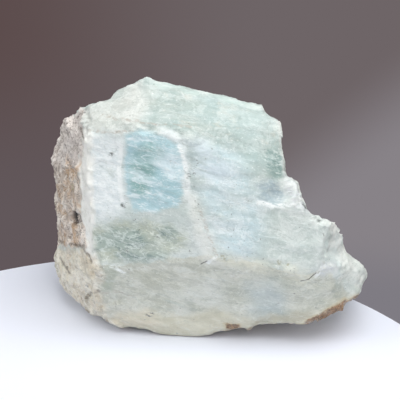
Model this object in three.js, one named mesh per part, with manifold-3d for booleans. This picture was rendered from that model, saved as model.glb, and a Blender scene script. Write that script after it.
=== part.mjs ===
// A rough aquamarine: one lump of pale blue-green beryl, broken from a larger crystal and
// standing on the small flat spot under it. It is one piece, so it is one solid.
// Millimetres, +Z up. +X runs to the stepped end, -X to the crusty one, and -Y is the front.
// The origin is under the middle of the stone, on the surface that it stands on.
import * as THREE from "three";
import { ConvexGeometry } from "three/addons/geometries/ConvexGeometry.js";
import { ImprovedNoise } from "three/addons/math/ImprovedNoise.js";
import { mergeVertices } from "three/addons/utils/BufferGeometryUtils.js";
import Module from "manifold-3d";

// Driving dimensions
const KEEL_Y = -34; // the front edge between the upright faces and the lower, inward-sloping one
const KEEL_Z = 32; // how high that edge is at its middle
const RIDGE_Z = 77; // the top of the straight ridge, at its left end
const BACK_Y = 35; // the back face at its furthest
const LEFT_X = -48.9; // the crusty end
const TOE_X = 52.5; // the tip of the toe at the stepped end
const MESH_EDGE = 4.3; // longest edge of the faceted surface
const WORN = 0.25; // how far each corner is worn towards its neighbours, as a share
const FOOT_SUNK = 0.6; // the foot is made this much too deep, then cut off flat

const wasm = await Module();
wasm.setup();

const noise = new ImprovedNoise();

// Solids and geometry

function solidOf(geometry) {
  const bare = geometry.index ? geometry.toNonIndexed() : geometry.clone();
  bare.deleteAttribute("normal");
  bare.deleteAttribute("uv");
  const merged = mergeVertices(bare, 1e-4);
  return new wasm.Manifold(
    new wasm.Mesh({
      numProp: 3,
      vertProperties: merged.attributes.position.array,
      triVerts: new Uint32Array(merged.index.array),
    }),
  );
}

function meshOf(solid) {
  const { vertProperties, triVerts, numProp, numVert } = solid.getMesh();
  const points = [];
  for (let i = 0; i < numVert; i++) {
    points.push(new THREE.Vector3().fromArray(vertProperties, i * numProp));
  }
  const triangles = [];
  for (let i = 0; i < triVerts.length; i += 3) {
    triangles.push([triVerts[i], triVerts[i + 1], triVerts[i + 2]]);
  }
  return { points, triangles };
}

function geometryOf({ points, triangles }) {
  const geometry = new THREE.BufferGeometry().setFromPoints(points);
  geometry.setIndex(triangles.flat());
  return geometry;
}

// The flat-faced block whose corners are these points.
function block(...corners) {
  return solidOf(new ConvexGeometry(corners.map((c) => new THREE.Vector3(...c))));
}

// The stone's main faces

// The body of the crystal as it was before its right end broke. Its corners are listed from
// the top ridge down the front, then along the foot, then up the left end and round the back.
function crystal() {
  return block(
    [-16, -12, RIDGE_Z],
    [17.5, -13, 70],
    [22.4, -17, 66],
    [-32.5, -15, 69.5],
    [-31.2, -22.2, 64.5],
    [-17.5, -25.4, 66.2],
    [-3, -27.6, 65],
    [-30, -26.5, 24.8],
    [4, KEEL_Y, KEEL_Z],
    [28.6, -33, 26.2],
    [35.5, -31.6, 29.3],
    [36.2, -28.8, 40.3],
    [-28.1, -19.7, 3.2],
    [-15.2, -20.8, 2],
    [-3, -21.8, -FOOT_SUNK],
    [8.1, -23.4, 3],
    [18.4, -25.6, 6.6],
    [29.3, -27.2, 8.3],
    [-26.5, -12.5, -FOOT_SUNK],
    [-37.4, -6, 66.8],
    [-40.8, 1, 63.4],
    [-44, 9, 58.4],
    [-46.2, 12, 53],
    [LEFT_X, 12, 32],
    [LEFT_X, 11, 17],
    [-47.6, 7, 5.5],
    [-44.8, -2, 6.5],
    [-38, -7.5, 3],
    [-30, 27, 62],
    [16, 30, 57],
    [-38, BACK_Y - 1, 34],
    [20, BACK_Y, 30],
    [36, 18, 34],
    [24, 26, 50],
    [-30, 4, -FOOT_SUNK],
    [-16, 20, -FOOT_SUNK],
    [14, 16, -FOOT_SUNK],
    [20, -2, -FOOT_SUNK],
  );
}

// A block that runs right through the stone, from in front of it to behind it. Each corner is
// [x, z] on the front face and then [x, z] at the back.
function cutThrough(frontY, ...corners) {
  const ends = corners.flatMap(([x, z, backX, backZ]) => {
    const near = new THREE.Vector3(x, frontY, z);
    const far = new THREE.Vector3(backX, BACK_Y + 8, backZ);
    return [near.clone().lerp(far, -0.3).toArray(), far.toArray()];
  });
  return block(...ends);
}

// What broke away above the ledges on the right, in three steps from the top down.
function breakAbove() {
  const high = cutThrough(
    -24,
    [22.6, 66, 24, 58],
    [23.4, 54.6, 26, 34],
    [60, 54, 60, 30],
    [60, 90, 60, 90],
    [22.6, 90, 24, 90],
  );
  const middle = cutThrough(
    -28,
    [23.6, 54, 25.5, 33],
    [26.8, 53, 28, 30],
    [29.2, 49.4, 31.5, 22],
    [30.2, 44, 34, 16],
    [60, 44, 60, 12],
    [60, 60, 60, 50],
    [23.6, 60, 25.5, 50],
  );
  const low = cutThrough(
    -29,
    [29.8, 43.4, 30, 14],
    [36.6, 40.8, 39, 8],
    [60, 40, 60, 6],
    [60, 60, 60, 40],
    [29.8, 60, 30, 40],
  );
  return high.add(middle).add(low);
}

// The slab at the right end that the lower ledge stands on, with the toe beyond it.
function slab() {
  return block(
    [28, -30, 34],
    [36, -29, 40],
    [38.4, -25, 38.6],
    [41, -21, 34.4],
    [43, -19, 28.3],
    [42, -14, 26],
    [35.3, -31.4, 29],
    [28.6, -33, 26.2],
    [38, 8, 22],
    [40, 0, 22],
    [26, 18, 16],
    [28, 16, 24],
    [30, -24, 10],
  );
}

function toe() {
  return block(
    [35.3, -31.4, 29],
    [28.6, -33, 26.2],
    [42.8, -20, 28],
    [48.6, -19.5, 22.6],
    [TOE_X - 2.5, -20, 18.7],
    [47.8, -20.5, 15.4],
    [45.4, -23.5, 12.6],
    [41.5, -26, 10.6],
    [36.2, -27.8, 10.2],
    [29.3, -27.2, 8.3],
    [18.4, -25.6, 6.6],
    [TOE_X, -4, 13.5],
    [TOE_X - 1, 3, 8],
    [45, 8, 6],
    [34, 14, 5],
    [22, 6, 2],
    [24, 14, 18],
  );
}

// Small breaks

// The low step in the outline between the ridge's left end and the shoulder.
function shoulderStep() {
  return cutThrough(
    -13,
    [-25.7, 71.1, -26.5, 53],
    [-32.8, 69.6, -34, 52],
    [-40, 69.6, -48, 50],
    [-40, 80, -48, 80],
    [-25.5, 80, -26.5, 80],
  );
}

// The two small steps in the outline at the ridge's right end.
function ridgeNotch() {
  return cutThrough(
    -15,
    [17.6, 70.2, 18.5, 58],
    [18.7, 67.6, 20, 54],
    [20.2, 66.6, 21.5, 53],
    [30, 65.6, 32, 50],
    [30, 80, 32, 80],
    [17.4, 80, 18.4, 80],
  );
}

// The shallow scoop in the front face beside the upper ledge, with a floor at its foot.
function scoop() {
  return block(
    [16, -31, 46.5],
    [19.5, -31, 44.8],
    [26.5, -31, 46],
    [17, -29.5, 54],
    [23.5, -29, 55],
    [19.5, -27.8, 47.4],
    [20, -27.6, 51],
    [25.5, -27, 47.2],
    [23.5, -27, 51],
    [26.5, -36, 50],
    [16, -36, 50],
  );
}

// Fine facets and relief

// Splits triangles across their longest edge until no edge is longer than the limit.
function splitLongEdges({ points, triangles }, limit) {
  const middles = new Map();
  const keyOf = (a, b) => (a < b ? `${a} ${b}` : `${b} ${a}`);
  for (const [a, b, c] of triangles) {
    const edges = [[a, b], [b, c], [c, a]];
    const lengths = edges.map(([i, j]) => points[i].distanceTo(points[j]));
    const longest = lengths.indexOf(Math.max(...lengths));
    const [i, j] = edges[longest];
    if (lengths[longest] > limit && !middles.has(keyOf(i, j))) {
      middles.set(keyOf(i, j), points.push(points[i].clone().lerp(points[j], 0.5)) - 1);
    }
  }
  const split = triangles.flatMap((corners) => {
    // Turn the triangle until its split edges come first.
    for (let turn = 0; turn < 3; turn++) {
      const [a, b, c] = [0, 1, 2].map((k) => corners[(k + turn) % 3]);
      const m = middles.get(keyOf(a, b));
      const n = middles.get(keyOf(b, c));
      const o = middles.get(keyOf(c, a));
      if (m && n && o) return [[a, m, o], [m, b, n], [o, n, c], [m, n, o]];
      if (m && n) return [[a, m, c], [m, b, n], [m, n, c]];
      if (m && !o) return [[a, m, c], [m, b, c]];
    }
    return [corners];
  });
  const mesh = { points, triangles: split };
  return middles.size ? splitLongEdges(mesh, limit) : mesh;
}

// Swaps the edge between two triangles that lie flat together when that makes them less thin.
function swapThinEdges({ points, triangles }) {
  const across = new Map();
  triangles.forEach((corners, t) => {
    corners.forEach((a, k) => across.set(`${a} ${corners[(k + 1) % 3]}`, t));
  });
  const shape = (a, b, c) => {
    const [p, q, r] = [points[a], points[b], points[c]];
    const cross = q.clone().sub(p).cross(r.clone().sub(p));
    const edges = [p.distanceToSquared(q), q.distanceToSquared(r), r.distanceToSquared(p)];
    return { cross, fullness: cross.length() / Math.max(...edges) };
  };
  const changed = new Set();
  triangles.forEach(([a, b, c], t) => {
    for (const [i, j, k] of [[a, b, c], [b, c, a], [c, a, b]]) {
      const other = across.get(`${j} ${i}`);
      if (changed.has(t) || changed.has(other)) return;
      const l = triangles[other].find((v) => v !== i && v !== j);
      if (across.has(`${k} ${l}`) || across.has(`${l} ${k}`)) continue;
      const old = [shape(i, j, k), shape(j, i, l)];
      const swapped = [shape(i, l, k), shape(l, j, k)];
      const flat = old.concat(swapped).every((one) => one.cross.angleTo(old[0].cross) < 0.05);
      const gain = Math.min(...swapped.map((one) => one.fullness));
      if (flat && gain > 1.1 * Math.min(...old.map((one) => one.fullness))) {
        triangles[t] = [i, l, k];
        triangles[other] = [l, j, k];
        changed.add(t).add(other);
      }
    }
  });
  return changed.size;
}

function neighboursOf({ points, triangles }) {
  const neighbours = points.map(() => new Set());
  for (const [a, b, c] of triangles) {
    neighbours[a].add(b).add(c);
    neighbours[b].add(c).add(a);
    neighbours[c].add(a).add(b);
  }
  return neighbours;
}

// Wears the sharp edges of a mesh down a little.
function wear(mesh) {
  const neighbours = neighboursOf(mesh);
  const means = neighbours.map((set) => {
    const mean = new THREE.Vector3();
    for (const i of set) mean.add(mesh.points[i]);
    return mean.divideScalar(set.size);
  });
  mesh.points.forEach((p, i) => p.lerp(means[i], WORN));
}

// Noise of several sizes laid over each other, from about -1 to 1.
function layered(p, size, layers) {
  let sum = 0;
  let strength = 0.6;
  for (let i = 0; i < layers; i++) {
    sum += strength * noise.noise(p.x / size, p.y / size, p.z / size);
    size /= 2.1;
    strength /= 1.8;
  }
  return sum;
}

// Lumps and pits that are too single to come out of noise: where, how wide, how high.
const SPOTS = [
  { at: [-49.5, 10, 46], reach: 6, lift: 1.6 }, // the knob on the left outline
  { at: [-42, -4, 37], reach: 7, lift: 0.9 }, // the swelling in the middle of the left end
  { at: [-38, -13, 35], reach: 5, lift: -1.6 }, // the dark pit beside it
  { at: [-43, -2, 22], reach: 5, lift: -1 }, // the crack across the left end
  { at: [-47, 6, 14], reach: 6, lift: 1 }, // the paler lump under the crack
  { at: [27.5, -27, 49.5], reach: 5, lift: 0.9 }, // the white lump of the upper ledge
  { at: [8.5, -22, 2], reach: 5, lift: -1.2 }, // the brown pit in the lower edge
  { at: [-14, -21, 6], reach: 7, lift: 0.7 }, // the swelling over the foot
  { at: [36, -27, 22], reach: 6, lift: 0.6 }, // the swelling under the chipped corner
];

// How rough the stone is here, from the smooth crystal faces to the crusty left end.
function roughnessAt(p, normal) {
  const leftEnd = THREE.MathUtils.smoothstep(-normal.x, 0.45, 0.75);
  const rightBreak = THREE.MathUtils.smoothstep(normal.x, 0.4, 0.8);
  const hidden = THREE.MathUtils.smoothstep(normal.y, 0, 0.5);
  return 0.32 + 0.75 * leftEnd + 0.5 * rightBreak + 0.5 * hidden;
}

function relief(mesh) {
  const geometry = geometryOf(mesh);
  geometry.computeVertexNormals();
  const normals = geometry.attributes.normal;
  const lifts = mesh.points.map((p, i) => {
    const normal = new THREE.Vector3().fromBufferAttribute(normals, i);
    let lift = roughnessAt(p, normal) * layered(p, 13, 3);
    for (const { at, reach, lift: height } of SPOTS) {
      const far = p.distanceTo(new THREE.Vector3(...at)) / reach;
      lift += height * Math.exp(-2 * far * far);
    }
    return normal.multiplyScalar(lift);
  });
  mesh.points.forEach((p, i) => p.add(lifts[i]));
}

const rough = crystal()
  .subtract(breakAbove())
  .add(slab())
  .add(toe())
  .subtract(shoulderStep())
  .subtract(ridgeNotch())
  .subtract(scoop());
let mesh = meshOf(rough);
for (let edge = 8 * MESH_EDGE; edge >= MESH_EDGE; edge /= 2) {
  mesh = splitLongEdges(mesh, edge);
  for (let pass = 0; pass < 6; pass++) swapThinEdges(mesh);
}
wear(mesh);
relief(mesh);

const ground = new THREE.BoxGeometry(200, 200, 40).translate(0, 0, -20);
const stone = meshOf(solidOf(geometryOf(mesh)).subtract(solidOf(ground)));
const geometry = geometryOf(stone);
geometry.computeBoundingBox();
const middle = geometry.boundingBox.getCenter(new THREE.Vector3());
geometry.translate(-middle.x, -middle.y, -geometry.boundingBox.min.z);
geometry.computeVertexNormals();

const aquamarine = new THREE.Mesh(
  geometry,
  new THREE.MeshStandardMaterial({ color: 0xc6d6d3, roughness: 0.45, metalness: 0 }),
);
aquamarine.name = "rough_aquamarine";

const group = new THREE.Group();
group.add(aquamarine);
export default group;
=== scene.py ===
# A rough aquamarine on a pale round table, in soft studio light. Metres, in the part's own frame.
import math

import bmesh
import bpy
import numpy as np
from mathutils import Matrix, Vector, noise
from mathutils.bvhtree import BVHTree


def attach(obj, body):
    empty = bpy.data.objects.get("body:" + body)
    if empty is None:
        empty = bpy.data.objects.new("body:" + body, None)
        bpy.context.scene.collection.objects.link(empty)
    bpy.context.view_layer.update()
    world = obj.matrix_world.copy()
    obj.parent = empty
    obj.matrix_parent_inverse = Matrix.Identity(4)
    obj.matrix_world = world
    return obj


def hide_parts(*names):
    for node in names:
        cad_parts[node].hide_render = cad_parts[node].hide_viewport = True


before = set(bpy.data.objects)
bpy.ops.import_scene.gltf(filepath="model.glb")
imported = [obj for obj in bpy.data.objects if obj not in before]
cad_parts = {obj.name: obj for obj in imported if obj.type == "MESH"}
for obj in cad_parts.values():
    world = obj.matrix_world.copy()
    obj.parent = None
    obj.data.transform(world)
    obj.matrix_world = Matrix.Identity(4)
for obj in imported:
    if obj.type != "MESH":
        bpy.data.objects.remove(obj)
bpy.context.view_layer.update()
MM = 0.001

# The photograph's camera. Pixels below are the photograph's, from its top left corner.
PHOTO_SIDE = 400
CAMERA_AT = Vector((-1.7, -221.2, 116.7)) * MM
LOOKS_AT = Vector((-1.7, -0.4, 36.3)) * MM
VIEW_ANGLE = math.radians(30)
PIXELS_PER_SLOPE = PHOTO_SIDE / 2 / math.tan(VIEW_ANGLE / 2)
AHEAD = (LOOKS_AT - CAMERA_AT).normalized()
ASIDE = AHEAD.cross(Vector((0, 0, 1))).normalized()
UPWARD = ASIDE.cross(AHEAD)

# The direction that the crystal's grain runs in: nearly level, dipping to the right.
GRAIN = Vector((0.975, -0.06, -0.21)).normalized()

# The round table top, a hair below the stone
TABLE_RADIUS = 100 * MM
TABLE_THICK = 4 * MM
TABLE_MIDDLE = (-26.2 * MM, -63.5 * MM)
TABLE_GAP = 0.02 * MM
TABLE_SIDES = 256

# Lamps, each with a name, its place and width in metres, its watts and its colour
LAMPS_AIM = Vector((0, 0, 0.03))
LAMPS = [
    ("key", (0.13, -0.45, 0.3), 0.4, 0.53, (1, 0.995, 0.985)),
    ("softbox", (0.07, -0.12, 0.37), 0.34, 1.04, (1, 0.995, 0.99)),
    ("far_side", (0.5, -0.1, 0.25), 0.3, 0.48, (1, 1, 1)),
    ("side", (-0.5, -0.15, 0.3), 0.3, 1.05, (1, 0.985, 0.97)),
]

# The fine mesh: its spacing, how often faces and normals are smoothed, and the bend that counts as a crease
VOXEL = 0.56 * MM
FACE_PASSES = 10
NORMAL_PASSES = 3
BROAD_PASSES = 60
CREASE = 0.08

# How far the rims of the crust and of the other zones wander, in pixels
CRUST_WANDER = 2.5
ZONE_WANDER = 3.2
LOWER_FACE_TOP = 36  # millimetres up

# Heights of the relief, in millimetres
FACE_SWELL = 0.12
FACE_TERRACE = 0.07
FACE_GROOVE = 0.06
CRUST_SWELL = 0.5
CRUST_LUMP = 1.3
CRUST_GRAIN = 0.5
PIT_DEPTH = 1.2
FOOT_LUMP = 0.7
BREAK_LUMP = 0.7
BREAK_CHIP = 0.35
BREAK_GRAIN = 0.15
EDGE_CHIP = 0.9

# Zones of the front, as outlines in the photograph: first those of the upright face
MILK = [(86, 134), (112, 131), (126, 136), (125, 165), (127, 206), (118, 218), (98, 220), (86, 216)]
MILK_RIM = [(158, 127), (176, 131), (184, 144), (190, 186), (197, 206), (188, 210), (182, 186),
            (176, 148), (160, 136)]
WINDOW = [(126, 134), (150, 132), (168, 138), (178, 150), (184, 172), (185, 194), (176, 210),
          (154, 213), (132, 210), (126, 180), (124, 150)]
TEAL = [(136, 152), (152, 144), (162, 156), (152, 166), (146, 194), (134, 196), (132, 170)]
GLARE = [(136, 168), (150, 158), (172, 152), (184, 164), (187, 190), (172, 186), (150, 182), (138, 180)]
OLIVE = [(88, 228), (120, 223), (146, 221), (172, 228), (186, 236), (182, 248), (160, 262),
         (120, 265), (95, 262), (86, 244)]
POOLS = [
    [(92, 238), (112, 228), (138, 226), (148, 236), (150, 246), (138, 252), (116, 250), (94, 250)],
    [(158, 228), (176, 228), (182, 236), (174, 242), (162, 240)],
    [(112, 250), (134, 250), (160, 250), (172, 254), (164, 262), (132, 264), (114, 262)],
]
CREAM = [(186, 188), (194, 196), (204, 222), (214, 246), (219, 260), (207, 262), (198, 240), (191, 214)]
HAZE = [(186, 144), (205, 143), (224, 160), (228, 176), (206, 180), (192, 172)]
SKY = [(196, 148), (226, 146), (250, 180), (262, 205), (262, 232), (250, 256), (225, 256),
       (212, 235), (198, 200)]

# Zones of the ridge and of the broken right end
CHALK = [(80, 108), (112, 96), (140, 80), (150, 100), (140, 128), (120, 134), (80, 134)]
# A thin band along the ridge, painted lighter as the highlight a bevel would have; the shape has no bevel
# there.
RIDGE_HIGHLIGHT = [(146, 77), (200, 88), (264, 104), (266, 110), (200, 95), (150, 85)]
RIDGE_PALE = [(205, 98), (262, 108), (278, 120), (276, 130), (260, 136), (258, 178), (246, 178),
              (240, 130), (205, 112)]
MOSS = [(266, 150), (281, 148), (283, 178), (272, 182), (265, 168)]
# SLATE is the scoop under the ledge: partly its own bluish grey, partly painted shade in that hollow.
SLATE = [(258, 182), (270, 180), (284, 190), (284, 202), (270, 206), (258, 200)]
LUMP = [(284, 176), (297, 179), (306, 196), (310, 214), (292, 207), (286, 194)]
# The right-facing side facet, painted nearly white as painted light for the light that reaches it from the
# right.
LIT_SIDE_FACET = [(331, 222), (342, 230), (344, 246), (332, 254)]
CHIPS = [(315, 273), (323, 262), (334, 263), (337, 273), (326, 276)]

# Zones of the lower face
KEEL_PALE = [(214, 254), (240, 259), (285, 264), (314, 274), (302, 282), (262, 274), (226, 264)]
GREEN_FACET = [(95, 268), (112, 264), (119, 270), (110, 291), (95, 293)]
LOWER_PALE = [(172, 298), (206, 280), (222, 278), (226, 306), (200, 316), (172, 314)]
POND = [(248, 286), (270, 282), (284, 292), (282, 312), (262, 320), (250, 306)]
SAND = [(104, 320), (140, 311), (175, 314), (215, 309), (250, 316), (290, 316), (320, 308),
        (345, 296), (358, 290), (356, 300), (310, 330), (190, 345), (108, 332)]
BEIGE_FOOT = [(104, 316), (150, 311), (158, 322), (150, 332), (108, 328)]
# RIM_SHADE is painted shade: the lower rim at the right, darkened where the stone meets its shadow on the
# table.
RIM_SHADE = [(244, 321), (262, 315), (290, 313), (312, 309), (320, 316), (300, 326), (250, 328)]
RUST = [(296, 334), (308, 322), (322, 312), (338, 303), (354, 295), (362, 297), (356, 310),
        (340, 322), (318, 334)]
RUST_PIT = [(222, 336), (225, 324), (237, 323), (241, 329), (234, 336)]

# Zones of the crusty left end and of the foot under it
CRUST = [(0, 80), (84, 96), (83, 130), (81, 170), (80, 206), (83, 232), (90, 248), (60, 246), (0, 246)]
CRUST_TOP = [(50, 105), (90, 100), (88, 150), (72, 168), (46, 165)]
CRUST_RUSTY = [(62, 158), (80, 160), (86, 205), (92, 250), (60, 248), (58, 190)]
# The pale edge beside the crust, partly its own colour and partly painted light on its left-facing slope.
PALE_AND_LIT_EDGE = [(77, 128), (92, 130), (94, 215), (96, 262), (84, 250), (78, 200)]
PIT = [(73, 209), (79, 212), (81, 220), (77, 226), (73, 219)]
FOOT = [(40, 246), (90, 250), (106, 272), (100, 300), (112, 330), (60, 330), (40, 280)]
BROKEN_FOOT = [(50, 246), (92, 252), (118, 264), (128, 300), (122, 330), (60, 330), (40, 280)]

# Small shifts of the outline: a pixel, how many pixels far it reaches, and millimetres to the right and up
NUDGES = [
    ((145, 80), 9, (0, 1.15)), ((166, 83), 8, (0, 0.5)), ((295, 186), 8, (1.5, 1.6)),
    ((73, 112), 8, (0.6, -1.0)), ((362, 267), 7, (0.8, -0.9)), ((336, 226), 7, (0.7, 0.1)),
    ((54, 190), 9, (1.1, 0)), ((54, 212), 11, (1.2, 0)), ((54, 238), 11, (1.2, 0)),
    ((300, 321), 13, (0.3, -1.0)), ((353, 307), 7, (-0.9, 1.1)), ((144, 330), 10, (0, 0.8)),
    ((105, 321), 9, (0.3, 0.8)), ((265, 325), 9, (0, 0.8)), ((310, 317), 7, (0.2, -0.9)),
    ((112, 96), 5, (0.2, -0.7)), ((317, 217), 4, (0.6, 0.6)), ((333, 228), 5, (-1.1, 0)),
    ((333, 240), 6, (-1.1, 0)), ((332, 252), 6, (-1.0, 0)), ((51, 160), 4, (-0.7, 0)),
    ((58, 132), 7, (0.9, 0)), ((53, 201), 5, (1.0, 0)), ((136, 79), 6, (0, -0.8)),
    ((301, 192), 4, (0.9, 0)), ((356, 291), 5, (0.8, -0.2)),
]

# Thin cracks and seams, as lines in the photograph
SEAMS = [
    [(102, 115), (127, 120), (150, 124), (191, 127)],
    [(89, 131), (116, 132), (133, 130)],
    [(200, 212), (207, 228), (212, 245), (217, 257)],
    [(102, 293), (116, 292), (132, 296)],
]
DARK_CRACKS = [
    [(60, 242), (75, 245), (84, 247), (90, 257), (98, 276)],
    [(60, 258), (67, 268), (69, 272)],
    [(86, 298), (92, 293), (99, 291)],
    [(80, 128), (84, 140)],
]
BLACK_CRACKS = [
    [(201, 264), (207, 261)],
    [(301, 281), (309, 279), (316, 273)],
]
WHITE_LINES = [
    [(258, 203), (272, 206), (288, 206), (300, 201)],
    [(121, 146), (119, 170), (122, 200)],
    [(180, 146), (186, 168), (189, 188)],
    [(316, 276), (322, 268), (331, 266)],
    [(208, 263), (215, 257)],
    [(112, 267), (124, 272)],
]

# Spots, each a pixel and a radius in millimetres
DARK_SPOTS = [
    ((188, 176), 0.9), ((194, 174), 0.7), ((111, 155), 1.0), ((124, 205), 1.2), ((149, 315), 1.3),
    ((152, 314), 0.9), ((67, 268), 1.0), ((87, 286), 1.2), ((295, 268), 0.5), ((128, 250), 0.8),
]
OLIVE_SPOTS = [((279, 263), 0.9), ((288, 265), 0.5), ((73, 186), 2.0), ((223, 257), 1.0)]


# Between the photograph and the stone

def pixels_of(points):
    """Where the camera sees these points: one row of (across, down) each."""
    offset = points - np.array(CAMERA_AT)
    depth = offset @ np.array(AHEAD)
    across = PHOTO_SIDE / 2 + PIXELS_PER_SLOPE * (offset @ np.array(ASIDE)) / depth
    down = PHOTO_SIDE / 2 - PIXELS_PER_SLOPE * (offset @ np.array(UPWARD)) / depth
    return np.column_stack([across, down])


def on_surface(surface, pixel):
    """The point of the stone's surface that a pixel shows."""
    across, down = pixel
    ray = AHEAD
    ray = ray + ASIDE * (across - PHOTO_SIDE / 2) / PIXELS_PER_SLOPE
    ray = ray - UPWARD * (down - PHOTO_SIDE / 2) / PIXELS_PER_SLOPE
    place = surface.ray_cast(CAMERA_AT, ray.normalized())[0]
    if place is None:
        raise ValueError(f"no stone at pixel {pixel}")
    return place


def smooth_step(value, low, high):
    """0 at low and 1 at high, smoothly, also where high is the smaller one."""
    t = np.clip((value - low) / (high - low), 0, 1)
    return t * t * (3 - 2 * t)


def signed_distance(pixels, outline):
    """How far inside the outline each pixel is, in pixels. Outside it is negative."""
    nearest = np.full(len(pixels), 1e9)
    inside = np.zeros(len(pixels), bool)
    for (ax, ay), (bx, by) in zip(outline, outline[1:] + outline[:1]):
        edge = np.array([bx - ax, by - ay], float)
        offset = pixels - (ax, ay)
        along = np.clip(offset @ edge / (edge @ edge), 0, 1)
        nearest = np.minimum(nearest, np.linalg.norm(offset - along[:, None] * edge, axis=1))
        crosses = (ay > pixels[:, 1]) != (by > pixels[:, 1])
        if ay != by:
            where = ax + (pixels[:, 1] - ay) * (bx - ax) / (by - ay)
            inside ^= crosses & (pixels[:, 0] < where)
    return np.where(inside, nearest, -nearest)


# The stone's mesh

def fine_mesh():
    """An even fine mesh of the CAD stone."""
    stone = bpy.data.objects.new("stone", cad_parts["rough_aquamarine"].data.copy())
    bpy.context.scene.collection.objects.link(stone)
    stone.data.materials.clear()
    remesh = stone.modifiers.new("even", "REMESH")
    remesh.mode = "VOXEL"
    remesh.voxel_size = VOXEL
    evaluated = stone.evaluated_get(bpy.context.evaluated_depsgraph_get())
    mesh = bpy.data.meshes.new_from_object(evaluated)
    stone.modifiers.clear()
    stone.data = mesh
    return stone


def positions_of(mesh):
    flat = np.empty(3 * len(mesh.vertices))
    mesh.vertices.foreach_get("co", flat)
    return flat.reshape(-1, 3)


def normals_of(mesh):
    flat = np.empty(3 * len(mesh.vertices))
    mesh.vertex_normals.foreach_get("vector", flat)
    return flat.reshape(-1, 3)


def edges_of(mesh):
    """The vertices at the two ends of every edge, as two rows."""
    flat = np.empty(2 * len(mesh.edges), int)
    mesh.edges.foreach_get("vertices", flat)
    return flat.reshape(-1, 2).T


def unit_rows(vectors):
    """The same directions, each of length 1."""
    return vectors / np.linalg.norm(vectors, axis=1)[:, None]


def neighbour_mean(mesh, values, passes, weights=None):
    """Values averaged over each vertex's neighbours, several times over."""
    a, b = edges_of(mesh)
    weights = np.ones(len(a)) if weights is None else weights
    count = np.bincount(a, weights, len(values)) + np.bincount(b, weights, len(values)) + 1e-6
    for _ in range(passes):
        total = 1e-6 * values
        for k in range(3):
            total[:, k] += np.bincount(a, weights * values[b, k], len(values))
            total[:, k] += np.bincount(b, weights * values[a, k], len(values))
        values = 0.5 * values + 0.5 * total / count[:, None]
    return values


def smooth_faces(mesh):
    """Smooths the flat faces, and leaves the creases between them as they are."""
    a, b = edges_of(mesh)
    normals = neighbour_mean(mesh, normals_of(mesh), 1)
    bend = np.linalg.norm(normals[a] - normals[b], axis=1) / CREASE
    points = neighbour_mean(mesh, positions_of(mesh), FACE_PASSES, np.exp(-bend * bend))
    mesh.vertices.foreach_set("co", points.ravel())
    mesh.update()


# Noises over the stone. Sizes are in millimetres.

def cloud(points, size, layers=3, seed=0.0, along=None, stretch=1.0):
    """Fractal noise at each point, about -1 to 1, drawn out along a direction if one is given."""
    places = points / (size * MM)
    if along is not None:
        run = places @ np.array(along)
        places = places - np.outer(run * (1 - 1 / stretch), np.array(along))
    places = places + seed
    return np.array([noise.fractal(Vector(p), 0.9, 2.1, layers) for p in places]) * 1.4


def wander(points, size, seeds):
    """Two clouds of the same size, one for across and one for down."""
    return np.column_stack([cloud(points, size, 4, seed) for seed in seeds])


def hackly(points, size, seed):
    """Small flat facets at odd tilts, as on a fresh break, about -1 to 1."""
    def tilt(place):
        centre = noise.voronoi(place)[1][0]
        return (place - centre).dot(noise.cell_vector(centre * 977.0) * 2 - Vector((1, 1, 1)))
    return np.array([tilt(Vector(p)) for p in points / (size * MM) + seed])


def terraces(points, size, seed):
    """Low steps with sharp fronts, drawn out along the grain."""
    height = 3.5 * cloud(points, size, 3, seed, GRAIN, 4.0)
    whole = np.floor(height)
    return whole + smooth_step(height - whole, 0.4, 0.6)


# The stone's surface

def nudged(points, pixels):
    """The points after the small shifts of the outline. Pixels are where the points were seen before."""
    for middle, reach, (right, up) in NUDGES:
        share = np.exp(-((pixels - middle) ** 2).sum(axis=1) / reach ** 2)
        points = points + np.outer(share, np.array(ASIDE) * right + np.array(UPWARD) * up) * MM
    return points


def sides_of(points, normals, pixels):
    """How much of each side of the stone every vertex has."""
    to_camera = unit_rows(np.array(CAMERA_AT) - points)
    facing = smooth_step((normals * to_camera).sum(axis=1), 0.02, 0.25)
    crust = smooth_step(-normals[:, 0] + 0.2 * cloud(points, 4, 4, 5.1), 0.3, 0.5)
    ragged = pixels + CRUST_WANDER * wander(points, 3, (61.0, 67.0))
    crust *= smooth_step(signed_distance(ragged, CRUST), -2, 2)
    return {
        "toward": smooth_step(-normals[:, 1], -0.6, -0.2),
        "front": facing * smooth_step(-normals[:, 1], -0.3, 0.1),
        "crust": crust,
        "broken": smooth_step(normals[:, 0], 0.45, 0.75),
        "back": smooth_step(normals[:, 1], 0.1, 0.5),
        "under": smooth_step(-normals[:, 2], 0.6, 0.85),
    }


def zone_reader(pixels, usual):
    """A function that tells how much of an outline each vertex has, fading over a soft rim."""
    def zone(outline, soft, where=usual):
        return smooth_step(signed_distance(pixels, outline), -soft, soft) * where
    return zone


def lower_face(points, normals, warp):
    """How much each vertex belongs to the face that slopes inwards to the foot."""
    leaning = smooth_step(0.12 - normals[:, 2] + 0.1 * warp[:, 0], 0.0, 0.3)
    return leaning * smooth_step(LOWER_FACE_TOP - points[:, 2] / MM, 0, 6)


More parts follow.
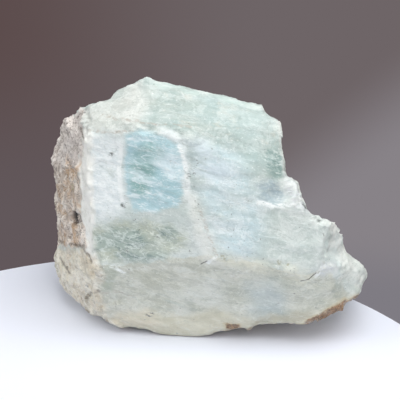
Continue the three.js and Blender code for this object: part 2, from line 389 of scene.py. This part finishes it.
def colour_zones(zone, sides, below, edge):
    """Every zone that the colours are laid by. Soft rims are in pixels."""
    crust = sides["crust"]
    clean = 1 - crust
    return {
        "below": below,
        "milk": np.maximum(zone(MILK, 10), 0.8 * zone(MILK_RIM, 3.5)),
        "window": zone(WINDOW, 6),
        "teal": zone(TEAL, 9),
        "olive": zone(OLIVE, 12),
        "cream": zone(CREAM, 7),
        "sky": zone(SKY, 18),
        "haze": zone(HAZE, 9),
        "ridge_pale": zone(RIDGE_PALE, 9),
        "lower_pale": zone(LOWER_PALE, 9),
        "pool": np.max([zone(pool, 10) for pool in POOLS], axis=0),
        "pond": zone(POND, 12),
        "under": sides["under"] * clean,
        "moss": zone(MOSS, 4),
        "slate": zone(SLATE, 4),
        "rust": np.maximum(zone(RUST, 5, sides["toward"]), zone(RUST_PIT, 3)),
        "sand": zone(SAND, 6),
        "lit_side_facet": zone(LIT_SIDE_FACET, 2),
        "chalk": zone(CHALK, 10),
        "glare": zone(GLARE, 8),
        "crust_top": zone(CRUST_TOP, 6, 1),
        "crust_rusty": zone(CRUST_RUSTY, 5, 1),
        "foot": zone(FOOT, 4, clean),
        "lump": np.maximum(zone(LUMP, 4), zone(CHIPS, 3)),
        "ridge_highlight": zone(RIDGE_HIGHLIGHT, 1.5),
        "keel_pale": zone(KEEL_PALE, 4),
        "pit": zone(PIT, 1.5, 1),
        "green_facet": zone(GREEN_FACET, 3),
        "beige_foot": zone(BEIGE_FOOT, 7),
        "pale_and_lit_edge": zone(PALE_AND_LIT_EDGE, 3, sides["toward"]),
        "crust": crust,
        "broken": np.maximum(sides["broken"], 0.8 * sides["back"]) * clean,
        "edge": edge,
        "rim_shade": zone(RIM_SHADE, 4),
    }


def coarseness(zone, sides, edge):
    """How rough the surface is at each vertex, up to 1."""
    coarse = 0.12 + sides["crust"] + 0.25 * sides["broken"] + 0.45 * sides["back"]
    coarse = coarse + 0.3 * sides["under"] + 0.7 * edge
    return np.clip(coarse + 0.7 * zone(BROKEN_FOOT, 8, 1), 0, 1)


def relief(points, zones, coarse, worn, proud):
    """How far each vertex is lifted along its normal, in millimetres. Worn edges are chipped where proud."""
    crust = zones["crust"]
    faces = 1 - crust
    lift = faces * (FACE_SWELL * cloud(points, 8, 3, 2.0) + FACE_TERRACE * terraces(points, 6, 14.0))
    lift += faces * FACE_GROOVE * cloud(points, 1.3, 3, 8.0, GRAIN, 5.0)
    lift += crust * (CRUST_SWELL * cloud(points, 9, 2, 31.0) + CRUST_LUMP * hackly(points, 5.2, 33.0))
    lift += crust * CRUST_GRAIN * hackly(points, 1.9, 37.0) - PIT_DEPTH * zones["pit"]
    lift += zones["foot"] * FOOT_LUMP * hackly(points, 3.5, 71.0)
    lift += coarse * faces * (BREAK_LUMP * hackly(points, 5.0, 41.0) + BREAK_CHIP * hackly(points, 2.4, 46.0))
    lift += coarse * faces * BREAK_GRAIN * cloud(points, 2, 3, 43.0)
    chips = smooth_step(cloud(points, 4.5, 4, 51.0), 0.05, 0.45)
    return lift - worn * EDGE_CHIP * chips * np.clip(proud, 0, 1.0)


def shape_surface(stone):
    """Adds the fine relief, and keeps on each vertex how much of every zone it has."""
    mesh = stone.data
    smooth_faces(mesh)
    points = positions_of(mesh)
    normals = unit_rows(neighbour_mean(mesh, normals_of(mesh), NORMAL_PASSES))
    proud = ((points - neighbour_mean(mesh, points, BROAD_PASSES)) * normals).sum(axis=1) / MM
    edge = smooth_step(proud, 0.12, 0.45)

    seen_at = pixels_of(points)
    points = nudged(points, seen_at)
    sides = sides_of(points, normals, seen_at)
    warp = wander(points, 6, (11.0, 23.0))
    zone = zone_reader(pixels_of(points) + ZONE_WANDER * warp, sides["front"] * (1 - sides["crust"]))
    zones = colour_zones(zone, sides, lower_face(points, normals, warp), edge)

    # Relief is kept calm under the band of painted ridge highlight.
    calm = 1 - zone(RIDGE_HIGHLIGHT, 5)
    lift = relief(points, zones, coarseness(zone, sides, edge) * calm, calm * edge, proud)
    off_floor = smooth_step(points[:, 2] / MM, 0.4, 2.5)
    points = points + normals * (lift * off_floor * MM)[:, None]
    points[:, 2] = np.maximum(points[:, 2], 0)
    mesh.vertices.foreach_set("co", points.ravel())
    for name, values in zones.items():
        mesh.attributes.new(name, "FLOAT", "POINT").data.foreach_set("value", values)
    mesh.update()
    mesh.shade_smooth()


# Materials

class Wire:
    """A socket's value, which sums and products can be written with."""

    def __init__(self, finish, socket):
        self.finish, self.socket = finish, socket

    def __add__(self, other):
        return self.finish.maths("ADD", self, other)

    def __sub__(self, other):
        return self.finish.maths("SUBTRACT", self, other)

    def __rsub__(self, other):
        return self.finish.maths("SUBTRACT", other, self)

    def __mul__(self, other):
        return self.finish.maths("MULTIPLY", self, other)

    __radd__ = __add__
    __rmul__ = __mul__


class Finish:
    """A material, or the world, while its nodes are laid."""

    def __init__(self, owner):
        owner.use_nodes = True
        self.tree = owner.node_tree
        self.tree.nodes.clear()

    def node(self, kind, settings=None, values=None, out=0):
        made = self.tree.nodes.new(kind)
        for name, setting in (settings or {}).items():
            setattr(made, name, setting)
        for name, value in (values or {}).items():
            socket = self.find(made.inputs, name)
            if isinstance(value, Wire):
                self.tree.links.new(value.socket, socket)
            else:
                socket.default_value = value
        return Wire(self, self.find(made.outputs, out)) if made.outputs else None

    @staticmethod
    def find(sockets, name):
        if isinstance(name, int):
            return sockets[name]
        return next((s for s in sockets if s.identifier == name), None) or sockets[name]

    def maths(self, operation, a, b=0.0):
        return self.node("ShaderNodeMath", {"operation": operation}, {0: a, 1: b})

    def clamped(self, a):
        return self.node("ShaderNodeClamp", None, {"Value": a})

    def band(self, value, low, high):
        """0 at low and 1 at high, smoothly, also where high is the smaller one."""
        values = {"Value": value, "From Min": low, "From Max": high}
        return self.node("ShaderNodeMapRange", {"interpolation_type": "SMOOTHSTEP"}, values)

    def mix(self, a, b, factor):
        values = {"Factor_Float": factor, "A_Color": a, "B_Color": b}
        return self.node("ShaderNodeMix", {"data_type": "RGBA"}, values, "Result_Color")

    def vector(self, operation, a, b, out=0):
        return self.node("ShaderNodeVectorMath", {"operation": operation}, {0: a, 1: b}, out)

    def part_of(self, vector, number):
        """The first, second or third number of a vector or a colour."""
        return self.node("ShaderNodeSeparateXYZ", None, {0: vector}, number)

    def zone(self, name):
        return self.node("ShaderNodeAttribute", {"attribute_name": name}, None, "Fac")

    def noise(self, place, size, detail=3.0, roughness=0.6, distortion=0.0):
        values = {"Vector": place, "Scale": 1 / (size * MM), "Detail": detail, "Roughness": roughness,
                  "Distortion": distortion}
        return self.node("ShaderNodeTexNoise", None, values)

    def cells(self, place, size):
        """Small cells, each with a number of its own from 0 to 1."""
        values = {"Vector": place, "Scale": 1 / (size * MM)}
        return self.part_of(self.node("ShaderNodeTexVoronoi", {"feature": "F1"}, values, "Color"), 0)

    def veins(self, place, size, width):
        """1 along thin wandering lines, as of healed cracks."""
        field = self.noise(place, size, 4.0, 0.6, 0.6)
        return 1 - self.band(self.maths("ABSOLUTE", field - 0.5), 0.25 * width, width)

    def shaken(self, place, size, far):
        """The place moved about a little, so that lines laid by it wander."""
        values = {"Vector": place, "Scale": 1 / (size * MM), "Detail": 2.0}
        field = self.node("ShaderNodeTexNoise", None, values, "Color")
        shift = self.vector("MULTIPLY", self.vector("SUBTRACT", field, (0.5, 0.5, 0.5)), (far * MM,) * 3)
        return self.vector("ADD", place, shift)

    def line(self, place, ends, width):
        """1 along a straight line between two points, fading to 0 at its width."""
        start, run = ends[0], ends[1] - ends[0]
        offset = self.vector("SUBTRACT", place, start)
        along = self.clamped(self.vector("DOT_PRODUCT", offset, run / run.length_squared, "Value"))
        foot = self.node("ShaderNodeVectorMath", {"operation": "SCALE"}, {0: tuple(run), "Scale": along})
        away = self.vector("DISTANCE", offset, foot, "Value")
        return 1 - self.band(away, 0.3 * width * MM, width * MM)

    def lines(self, place, surface, routes, width):
        """1 along each of these routes of pixels."""
        total = 0.0
        for route in routes:
            points = [on_surface(surface, pixel) for pixel in route]
            for ends in zip(points, points[1:]):
                total = self.line(place, ends, width) + total
        return self.clamped(total)

    def spots(self, place, surface, spots):
        """1 in each of these spots, given as a pixel and a radius in millimetres."""
        total = 0.0
        for pixel, radius in spots:
            away = self.vector("DISTANCE", place, on_surface(surface, pixel), "Value")
            total = (1 - self.band(away, 0.4 * radius * MM, 1.1 * radius * MM)) + total
        return self.clamped(total)


def rgb(red, green, blue):
    """A colour as read off the photograph, 0 to 255, for the renderer."""
    def linear(c):
        c /= 255
        return c / 12.92 if c <= 0.04045 else ((c + 0.055) / 1.055) ** 2.4
    return (linear(red), linear(green), linear(blue), 1.0)


class Patterns:
    """The noises that the stone's colours are mixed by, and what is drawn on its surface."""

    def __init__(self, f, surface):
        self.f, self.surface = f, surface
        place = f.node("ShaderNodeTexCoord", None, None, "Object")

        # Space drawn out along the grain, so that noise in it makes streaks.
        tilt = math.atan2(-GRAIN.z, GRAIN.x)
        values = {"Vector": place, "Rotation": (0, -tilt, 0)}
        turned = f.node("ShaderNodeMapping", {"vector_type": "POINT"}, values)
        streaky = f.vector("MULTIPLY", turned, (0.13, 1, 1))
        wispy = f.vector("MULTIPLY", turned, (0.4, 1, 1))
        self.place, self.streaky, self.wispy = place, streaky, wispy
        self.height_up = f.part_of(place, 2)

        self.broad = f.noise(place, 20, 3)
        self.patchy = f.noise(wispy, 9, 4, 0.6)
        self.medium = f.noise(wispy, 5, 4, 0.7, 0.3)
        self.mottle = f.noise(wispy, 2.2, 4, 0.75, 0.2)
        self.grainy = f.noise(place, 0.8, 3, 0.7)
        self.fine = f.noise(place, 0.5, 2, 0.6)
        self.streak = f.noise(streaky, 0.8, 4, 0.7, 0.3)
        self.long_streak = f.noise(streaky, 3.0, 4, 0.65, 0.4)
        self.fleck = f.noise(wispy, 0.7, 3, 0.7)
        self.stain = f.noise(place, 6, 4, 0.65)
        self.crust_grain = f.noise(place, 3.0, 5, 0.75)
        self.facet = f.cells(place, 0.9)
        self.shard = f.cells(wispy, 2.8)
        self.pale_flakes = f.band(f.noise(place, 6, 6, 0.7, 0.8), 0.51, 0.55)
        self.dark_flakes = f.band(f.noise(wispy, 4, 6, 0.7, 0.6), 0.475, 0.44)

        elsewhere = f.vector("ADD", wispy, (0.3, 0.1, 0.2))
        self.pale_veins = f.veins(wispy, 4, 0.02) * f.band(self.medium, 0.36, 0.6)
        self.dark_veins = f.veins(elsewhere, 5, 0.014) * f.band(self.patchy, 0.42, 0.6)
        self.squiggles = f.veins(wispy, 3.2, 0.035) * f.band(self.patchy, 0.36, 0.54)
        self.shaken = f.shaken(place, 2.5, 1.5)
        self.cracks = f.lines(self.shaken, surface, DARK_CRACKS, 0.8) * f.band(self.fleck, 0.3, 0.46)

    def pale_and_dark(self, base, pale, dark, amount=1.0, lined=0.6):
        """A base colour with soft patches and fine flecks of a paler and a darker one."""
        f = self.f
        base = f.mix(base, pale, 0.6 * amount * f.band(self.medium, 0.42, 0.78))
        base = f.mix(base, dark, 0.5 * amount * f.band(self.mottle, 0.52, 0.22))
        base = f.mix(base, pale, 0.4 * amount * self.pale_flakes)
        base = f.mix(base, dark, 0.25 * amount * self.dark_flakes)
        base = f.mix(base, dark, 0.15 * amount * f.band(self.facet, 0.35, 0.0))
        base = f.mix(base, dark, 0.25 * amount * f.band(self.fine, 0.5, 0.3))
        base = f.mix(base, pale, 0.5 * lined * amount * f.band(self.streak, 0.54, 0.7))
        return f.mix(base, pale, 0.55 * amount * f.band(self.fleck, 0.57, 0.68))


# The stone's colours. Each function lays its own over the body that it is given.

def plain_beryl(f, p):
    """The pale grey-green that lies under all other colours."""
    body = f.mix(rgb(192, 203, 198), rgb(204, 212, 208), f.band(p.broad, 0.38, 0.62))
    return p.pale_and_dark(body, rgb(228, 232, 228), rgb(162, 175, 169), 0.85)


def lay_upper_face(f, p, body):
    """The greener face under the ridge, also darkened with painted shade to offset the stronger light it gets
    from above, with its chalky left end.
    """
    upper_and_shade = f.mix(rgb(162, 182, 179), rgb(170, 182, 175), f.band(p.patchy, 0.35, 0.65))
    upper_and_shade = f.mix(upper_and_shade, rgb(196, 193, 178), 0.6 * f.band(p.stain, 0.54, 0.66))
    upper_and_shade = f.mix(upper_and_shade, rgb(148, 170, 167), 0.6 * f.band(f.noise(p.place, 8, 4, 0.65), 0.5, 0.36))
    upper_and_shade = p.pale_and_dark(upper_and_shade, rgb(208, 217, 213), rgb(132, 151, 146), 1.1, 0.25)
    # Painted shade: the top of the stone, by height, gets the darker colour, partly its own green and partly
    # to offset the light from above.
    body = f.mix(body, upper_and_shade, f.band(p.height_up, 46 * MM, 60 * MM))
    chalk = f.mix(rgb(191, 196, 190), rgb(206, 210, 205), f.band(p.patchy, 0.35, 0.65))
    chalk = p.pale_and_dark(chalk, rgb(228, 230, 224), rgb(168, 169, 160), 1.0)
    return f.mix(body, chalk, 0.85 * f.zone("chalk"))


def lay_sky_blue(f, p, body):
    """The pale blue middle of the upright face."""
    sky = f.mix(rgb(195, 216, 221), rgb(201, 213, 208), f.band(p.patchy, 0.42, 0.62))
    sky = p.pale_and_dark(sky, rgb(224, 232, 234), rgb(160, 181, 182), 1.1)
    body = f.mix(body, sky, 0.9 * f.zone("sky"))
    body = f.mix(body, rgb(222, 234, 241), 0.6 * f.zone("haze") * f.band(p.medium, 0.3, 0.55))
    return f.mix(body, rgb(182, 202, 200), 0.4 * f.zone("ridge_pale") * f.band(p.medium, 0.3, 0.55))


def lay_lower_face(f, p, body):
    """The yellower face that slopes inwards to the foot, and the brown underside."""
    lower = f.mix(rgb(193, 194, 178), rgb(198, 201, 188), f.band(p.patchy, 0.35, 0.65))
    lower = f.mix(lower, rgb(212, 212, 200), 0.8 * f.band(f.noise(p.place, 7, 4, 0.6), 0.48, 0.64))
    lower = f.mix(lower, rgb(166, 173, 162), 0.8 * f.band(f.noise(p.wispy, 5, 4, 0.65), 0.48, 0.32))
    lower = p.pale_and_dark(lower, rgb(222, 223, 212), rgb(148, 153, 141))
    lower = f.mix(lower, rgb(166, 174, 158), 0.7 * f.zone("green_facet"))
    body = f.mix(body, lower, f.band(f.zone("below"), 0.3, 0.7))
    body = f.mix(body, rgb(184, 200, 205), 0.45 * f.zone("pond"))
    body = f.mix(body, rgb(216, 218, 210), 0.6 * f.zone("lower_pale") * f.band(p.medium, 0.3, 0.55))
    return f.mix(body, rgb(150, 124, 98), 0.8 * f.zone("under") * f.band(p.stain, 0.3, 0.5))


def lay_milk(f, p, body):
    """The milky white band on both sides of the window."""
    milk = f.mix(rgb(222, 230, 230), rgb(238, 243, 242), f.band(p.streak, 0.4, 0.6))
    milk = f.mix(milk, rgb(200, 212, 214), 0.7 * f.band(p.mottle, 0.48, 0.28))
    milk = f.mix(milk, rgb(206, 214, 208), 0.6 * f.band(p.fine, 0.45, 0.3))
    return f.mix(body, milk, f.zone("milk") * f.band(p.medium, 0.25, 0.45))


def lay_window(f, p, body):
    """The clear blue window, streaked along the grain and frayed at its rim."""
    window = f.mix(rgb(164, 199, 205), rgb(186, 212, 217), f.band(p.long_streak, 0.36, 0.64))
    teal = f.mix(rgb(136, 174, 170), rgb(162, 196, 196), f.band(p.long_streak, 0.36, 0.62))
    window = f.mix(window, teal, f.band(f.zone("teal"), 0.0, 0.9))
    window = f.mix(window, rgb(118, 156, 156), 0.6 * f.zone("teal") * f.band(p.streak, 0.5, 0.34))
    window = f.mix(window, rgb(222, 234, 237), 0.7 * f.zone("glare") * f.band(p.long_streak, 0.38, 0.56))
    window = f.mix(window, rgb(150, 180, 184), 0.5 * f.band(p.streak, 0.44, 0.3))
    window = f.mix(window, rgb(234, 242, 244), 0.6 * f.band(p.streak, 0.56, 0.68))
    needles = f.band(f.noise(p.streaky, 1.5, 4, 0.6, 0.3), 0.54, 0.66)
    window = f.mix(window, rgb(230, 240, 243), 0.65 * needles)
    window = f.mix(window, rgb(236, 243, 244), 0.6 * f.band(p.fleck, 0.57, 0.67))
    frayed = 1.2 * (p.long_streak - 0.5) + 0.8 * (p.streak - 0.5)
    return f.mix(body, window, f.band(f.zone("window") + frayed, 0.1, 0.95))


def lay_olive(f, p, body):
    """The olive haze under the window, with darker pools in it."""
    olive = f.mix(rgb(182, 187, 166), rgb(190, 199, 187), f.band(p.patchy, 0.38, 0.62))
    olive = f.mix(olive, rgb(138, 153, 144), 0.8 * f.band(p.medium, 0.54, 0.34))
    olive = f.mix(olive, rgb(136, 152, 144), 0.6 * f.band(p.mottle, 0.48, 0.28))
    olive = f.mix(olive, rgb(226, 230, 220), 0.8 * f.band(p.fleck, 0.54, 0.66))
    olive = f.mix(olive, rgb(128, 142, 134), 0.5 * f.band(p.fine, 0.44, 0.3))
    olive = f.mix(olive, rgb(232, 238, 232), 0.35 * p.squiggles)
    hazy = f.zone("olive") + 1.4 * (p.medium - 0.5) + 0.7 * (p.fleck - 0.5)
    body = f.mix(body, olive, 0.95 * f.band(hazy, 0.15, 0.95))
    pool = f.mix(rgb(150, 167, 160), rgb(108, 130, 126), f.band(p.mottle, 0.54, 0.36))
    pool = f.mix(pool, rgb(228, 236, 232), 0.5 * p.squiggles)
    murky = f.zone("pool") + 1.2 * (p.fleck - 0.5) + 1.5 * (p.medium - 0.5)
    return f.mix(body, pool, 0.8 * f.band(murky, 0.25, 1.0))


def lay_patches(f, p, body):
    """Smaller patches: cream beside the long seam, moss at the right, slate in the scoop at the right that is
    partly painted shade, painted light on the right-facing side facet, and sand along the foot.
    """
    cream = f.mix(rgb(220, 221, 211), rgb(236, 236, 230), f.band(p.medium, 0.4, 0.6))
    body = f.mix(body, cream, 0.6 * f.zone("cream"))
    mossy = f.band(p.mottle + 0.5 * (p.fleck - 0.5), 0.62, 0.4)
    body = f.mix(body, rgb(110, 138, 132), 0.85 * f.zone("moss") * mossy)
    # Painted shade in the scoop's hollow, bluish grey.
    body = f.mix(body, rgb(156, 175, 182), 0.85 * f.zone("slate") * f.band(p.mottle, 0.66, 0.42))
    # Painted light: the right-facing side facet is painted nearly white to make up for the light it lacks.
    body = f.mix(body, rgb(234, 233, 226), 0.85 * f.zone("lit_side_facet"))
    sand = f.mix(rgb(210, 204, 180), rgb(224, 220, 200), f.band(p.medium, 0.4, 0.6))
    body = f.mix(body, sand, 0.65 * f.zone("sand"))
    return f.mix(body, rgb(212, 200, 178), 0.5 * f.zone("beige_foot") * f.band(p.medium, 0.3, 0.6))


def lay_breaks(f, p, body):
    """The broken right end and the back, in shards of grey and white."""
    broken = f.mix(rgb(206, 212, 205), rgb(230, 232, 226), f.band(p.medium, 0.38, 0.62))
    broken = f.mix(broken, rgb(200, 188, 166), 0.5 * f.band(p.stain, 0.55, 0.7))
    broken = f.mix(broken, rgb(186, 197, 191), 0.45 * f.band(p.shard, 0.45, 0.1))
    broken = f.mix(broken, rgb(184, 203, 205), 0.5 * f.band(p.broad, 0.5, 0.64))
    broken = p.pale_and_dark(broken, rgb(240, 242, 237), rgb(174, 184, 177))
    return f.mix(body, broken, 0.8 * f.zone("broken"))


def lay_rust(f, p, body):
    """Painted shade along the lower rim at the right, then the rust under the toe and in a pit of the rim,
    with a pale halo.
    """
    # Painted shade: the lower rim darkened to olive where it nears the table.
    body = f.mix(body, rgb(150, 144, 116), 0.45 * f.zone("rim_shade"))
    body = f.mix(body, rgb(204, 192, 158), 0.7 * f.band(f.zone("rust"), 0.0, 0.4))
    rust = f.mix(rgb(90, 58, 36), rgb(168, 124, 82), f.band(f.noise(p.place, 1.1, 5, 0.75), 0.4, 0.64))
    rusty = f.zone("rust") + 0.9 * f.noise(p.place, 1.5, 5, 0.75) - 0.45
    return f.mix(body, rust, 0.9 * f.band(rusty, 0.25, 0.6))


def lay_edges(f, p, body):
    """The pale edge beside the crust, brightened with painted light on its left-facing slope, and a thin
    painted highlight along the ridge where a bevel would catch the light.
    """
    warm = f.mix(rgb(228, 229, 220), rgb(248, 249, 243), f.band(p.mottle, 0.34, 0.54))
    # Partly the edge's own pale colour, partly painted light: it is brightened to make up for the shade on
    # its left-facing slope.
    body = f.mix(body, warm, f.zone("pale_and_lit_edge"))
    # Painted highlight: a thin paler band along the ridge, standing in for light on a bevel.
    ridge_highlight = f.mix(rgb(182, 200, 194), rgb(202, 214, 209), f.band(p.long_streak, 0.4, 0.6))
    return f.mix(body, ridge_highlight, 0.85 * f.zone("ridge_highlight"))


def lay_foot(f, p, body):
    """The sandy foot at the lower left, and the pale lumps and the pale keel that lie over the faces."""
    foot = f.mix(rgb(216, 206, 184), rgb(234, 229, 212), f.band(p.patchy, 0.4, 0.6))
    foot = f.mix(foot, rgb(186, 160, 128), 0.6 * f.band(p.stain, 0.54, 0.66))
    foot = f.mix(foot, rgb(134, 124, 106), 0.7 * f.band(f.noise(p.place, 3, 5, 0.75), 0.43, 0.32))
    foot = p.pale_and_dark(foot, rgb(234, 233, 224), rgb(140, 136, 122))
    foot = f.mix(foot, rgb(128, 118, 100), 0.6 * f.veins(p.place, 5, 0.018) * f.band(p.stain, 0.45, 0.6))
    body = f.mix(body, foot, f.zone("foot"))
    body = f.mix(body, rgb(208, 213, 214), 0.9 * f.zone("lump") * f.band(p.fleck, 0.36, 0.5))
    return f.mix(body, rgb(222, 221, 202), 0.5 * f.zone("keel_pale") * f.band(p.mottle, 0.3, 0.55))


def lay_crust(f, p, body):
    """The brown and white crust of the left end, with one pit painted near black as the shade inside it."""
    crust = f.mix(rgb(196, 184, 172), rgb(238, 231, 221), f.band(f.noise(p.place, 7, 5, 0.7), 0.42, 0.58))
    crust = f.mix(crust, rgb(224, 218, 213), 0.7 * f.zone("crust_top"))
    crust = f.mix(crust, rgb(184, 148, 106), 0.8 * f.zone("crust_rusty") * f.band(p.stain, 0.44, 0.6))
    crust = f.mix(crust, rgb(118, 106, 98), 0.7 * f.band(p.crust_grain, 0.45, 0.33))
    crust = f.mix(crust, rgb(244, 240, 233), 0.7 * f.band(p.crust_grain, 0.55, 0.67))
    crust = f.mix(crust, rgb(118, 102, 90), 0.6 * f.veins(p.place, 3.5, 0.03))
    crust = f.mix(crust, rgb(60, 54, 52), 0.8 * f.band(f.noise(p.place, 1.4, 3, 0.65), 0.36, 0.28))
    body = f.mix(body, crust, f.zone("crust"))
    # Painted shade: the pit is painted near black for the shade deep inside it.
    pit = f.mix(rgb(44, 42, 46), rgb(150, 144, 142), f.band(p.fleck, 0.5, 0.6))
    return f.mix(body, pit, f.zone("pit"))


def lay_cracks(f, p, body):
    """Seams, cracks, white lines and spots, where the photograph has them."""
    seams = f.lines(p.shaken, p.surface, SEAMS, 0.7) * f.band(p.fleck, 0.42, 0.58)
    seams = seams * f.band(p.mottle, 0.3, 0.5)
    body = f.mix(body, rgb(156, 140, 122), 0.5 * seams)
    body = f.mix(body, rgb(100, 88, 74), 0.6 * p.cracks)
    body = f.mix(body, rgb(60, 58, 50), 0.8 * f.lines(p.place, p.surface, BLACK_CRACKS, 0.26))
    white = f.lines(p.shaken, p.surface, WHITE_LINES, 0.9) * f.band(p.fleck, 0.34, 0.5)
    body = f.mix(body, rgb(242, 246, 244), 0.75 * white)
    dark_spots = f.spots(p.shaken, p.surface, DARK_SPOTS) * f.band(p.fleck, 0.54, 0.42)
    body = f.mix(body, rgb(84, 90, 86), 0.85 * dark_spots)
    olive_spots = f.spots(p.shaken, p.surface, OLIVE_SPOTS) * f.band(p.grainy, 0.65, 0.45)
    return f.mix(body, rgb(142, 136, 82), 0.6 * olive_spots)


def lay_specks(f, p, body):
    """Dark specks, veins, painted glints and worn edges, all over the stone."""
    specks = f.band(f.noise(p.place, 1.0, 2, 0.5), 0.29, 0.24)
    body = f.mix(body, rgb(104, 106, 100), 0.6 * specks)
    clean = 1 - f.zone("crust")
    body = f.mix(body, rgb(232, 238, 235), 0.28 * p.pale_veins * clean)
    body = f.mix(body, rgb(140, 150, 142), 0.28 * p.dark_veins * clean)
    # Painted glints: tiny white highlights scattered over the clean faces.
    painted_glints = f.band(f.noise(p.place, 0.6, 2, 0.5), 0.68, 0.76)
    body = f.mix(body, rgb(246, 249, 247), 0.5 * painted_glints * clean)
    worn = f.zone("edge") * f.band(p.mottle, 0.45, 0.6)
    return f.mix(body, rgb(240, 242, 236), 0.25 * worn * clean)


LAYERS = [lay_upper_face, lay_sky_blue, lay_lower_face, lay_milk, lay_window, lay_olive, lay_patches,
          lay_breaks, lay_rust, lay_edges, lay_foot, lay_crust, lay_cracks, lay_specks]


def stone_finish(surface):
    material = bpy.data.materials.new("aquamarine")
    f = Finish(material)
    p = Patterns(f, surface)
    body = plain_beryl(f, p)
    for lay in LAYERS:
        body = lay(f, p, body)

    roughness = 0.4 + 0.25 * f.zone("crust") + 0.15 * f.band(p.mottle, 0.4, 0.6)
    height = 0.3 * p.streak + 0.4 * p.grainy + 0.4 * p.mottle + 0.25 * p.facet
    height = height + 0.9 * f.zone("crust") * p.crust_grain - 0.8 * p.cracks + 0.3 * p.pale_veins
    bump = f.node("ShaderNodeBump", None, {"Strength": 0.7, "Distance": 0.3 * MM, "Height": height})
    shader = f.node("ShaderNodeBsdfPrincipled", {"subsurface_method": "RANDOM_WALK"}, {
        "Base Color": body, "Roughness": roughness, "Normal": bump, "IOR": 1.57,
        "Subsurface Weight": 0.07, "Subsurface Radius": (0.9, 1.0, 1.05), "Subsurface Scale": 1.2 * MM})
    f.node("ShaderNodeOutputMaterial", None, {"Surface": shader})
    return material


# The setting

def table_finish():
    material = bpy.data.materials.new("white_table")
    f = Finish(material)
    shader = f.node("ShaderNodeBsdfPrincipled", None, {
        "Base Color": rgb(230, 234, 244), "Roughness": 0.6, "Specular IOR Level": 0.2})
    f.node("ShaderNodeOutputMaterial", None, {"Surface": shader})
    return material


def make_table():
    """The round table top, part of the setting."""
    mesh = bpy.data.meshes.new("table_top")
    top = bmesh.new()
    bmesh.ops.create_cone(top, cap_ends=True, segments=TABLE_SIDES, radius1=TABLE_RADIUS,
                          radius2=TABLE_RADIUS, depth=TABLE_THICK)
    top.to_mesh(mesh)
    top.free()
    table = bpy.data.objects.new("table_top", mesh)
    table.location = (*TABLE_MIDDLE, -TABLE_THICK / 2 - TABLE_GAP)
    table.data.materials.append(table_finish())
    bpy.context.scene.collection.objects.link(table)


def soft_light(name, place, size, watts, colour):
    data = bpy.data.lights.new(name, "AREA")
    data.shape = "DISK"
    data.size = size
    data.energy = watts
    data.color = colour
    lamp = bpy.data.objects.new(name, data)
    lamp.location = place
    lamp.rotation_euler = (LAMPS_AIM - Vector(place)).to_track_quat("-Z", "Y").to_euler()
    bpy.context.scene.collection.objects.link(lamp)


def backdrop_colour(f, x, z):
    """Dim warm grey, darkest at the left, with a paler glow low at the right."""
    colour = f.mix(rgb(92, 76, 76), rgb(110, 101, 103), f.band(x, -0.3, 0.1))
    colour = f.mix(colour, rgb(98, 88, 91), f.band(x, 0.0, -0.1) * f.band(z, -0.12, -0.36))
    colour = f.mix(colour, rgb(136, 131, 136), f.band(z - 0.8 * x, -0.334, -0.484))
    return f.mix(colour, rgb(127, 124, 131), f.band(z, -0.37, -0.45) * f.band(x, 0.1, 0.2))


def dome_colour(f, y, z):
    """Pale light from above, weaker from low behind the stone."""
    behind = f.band(y, 0.0, 0.5) * (1 - f.band(z, 0.5, 0.9))
    return f.mix((0.08, 0.08, 0.08, 1), (0.48, 0.485, 0.51, 1), f.band(z, 0.0, 0.4) * (1 - 0.8 * behind))


def studio():
    """Soft light all round, with a dim warm grey backdrop behind the stone."""
    world = bpy.data.worlds.new("studio")
    bpy.context.scene.world = world
    f = Finish(world)
    direction = f.node("ShaderNodeTexCoord", None, None, "Generated")
    x, y, z = (f.part_of(direction, number) for number in range(3))
    seen = f.node("ShaderNodeBackground", None, {"Color": backdrop_colour(f, x, z), "Strength": 1.0})
    dome = f.node("ShaderNodeBackground", None, {"Color": dome_colour(f, y, z), "Strength": 1.0})
    is_seen = f.node("ShaderNodeLightPath", None, None, "Is Camera Ray")
    both = f.node("ShaderNodeMixShader", None, {0: is_seen, 1: dome, 2: seen})
    f.node("ShaderNodeOutputWorld", None, {"Surface": both})
    for lamp in LAMPS:
        soft_light(*lamp)


def make_camera():
    data = bpy.data.cameras.new("camera")
    data.angle = VIEW_ANGLE
    data.clip_start = 0.01
    camera = bpy.data.objects.new("camera", data)
    camera.location = CAMERA_AT
    camera.rotation_euler = AHEAD.to_track_quat("-Z", "Y").to_euler()
    bpy.context.scene.collection.objects.link(camera)
    bpy.context.scene.camera = camera


make_camera()
make_table()
studio()
bpy.context.scene.view_settings.view_transform = "Standard"

stone = fine_mesh()
shape_surface(stone)
shown = BVHTree.FromPolygons([v.co for v in stone.data.vertices], [p.vertices for p in stone.data.polygons])
stone.data.materials.append(stone_finish(shown))
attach(stone, "root")
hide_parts("rough_aquamarine")
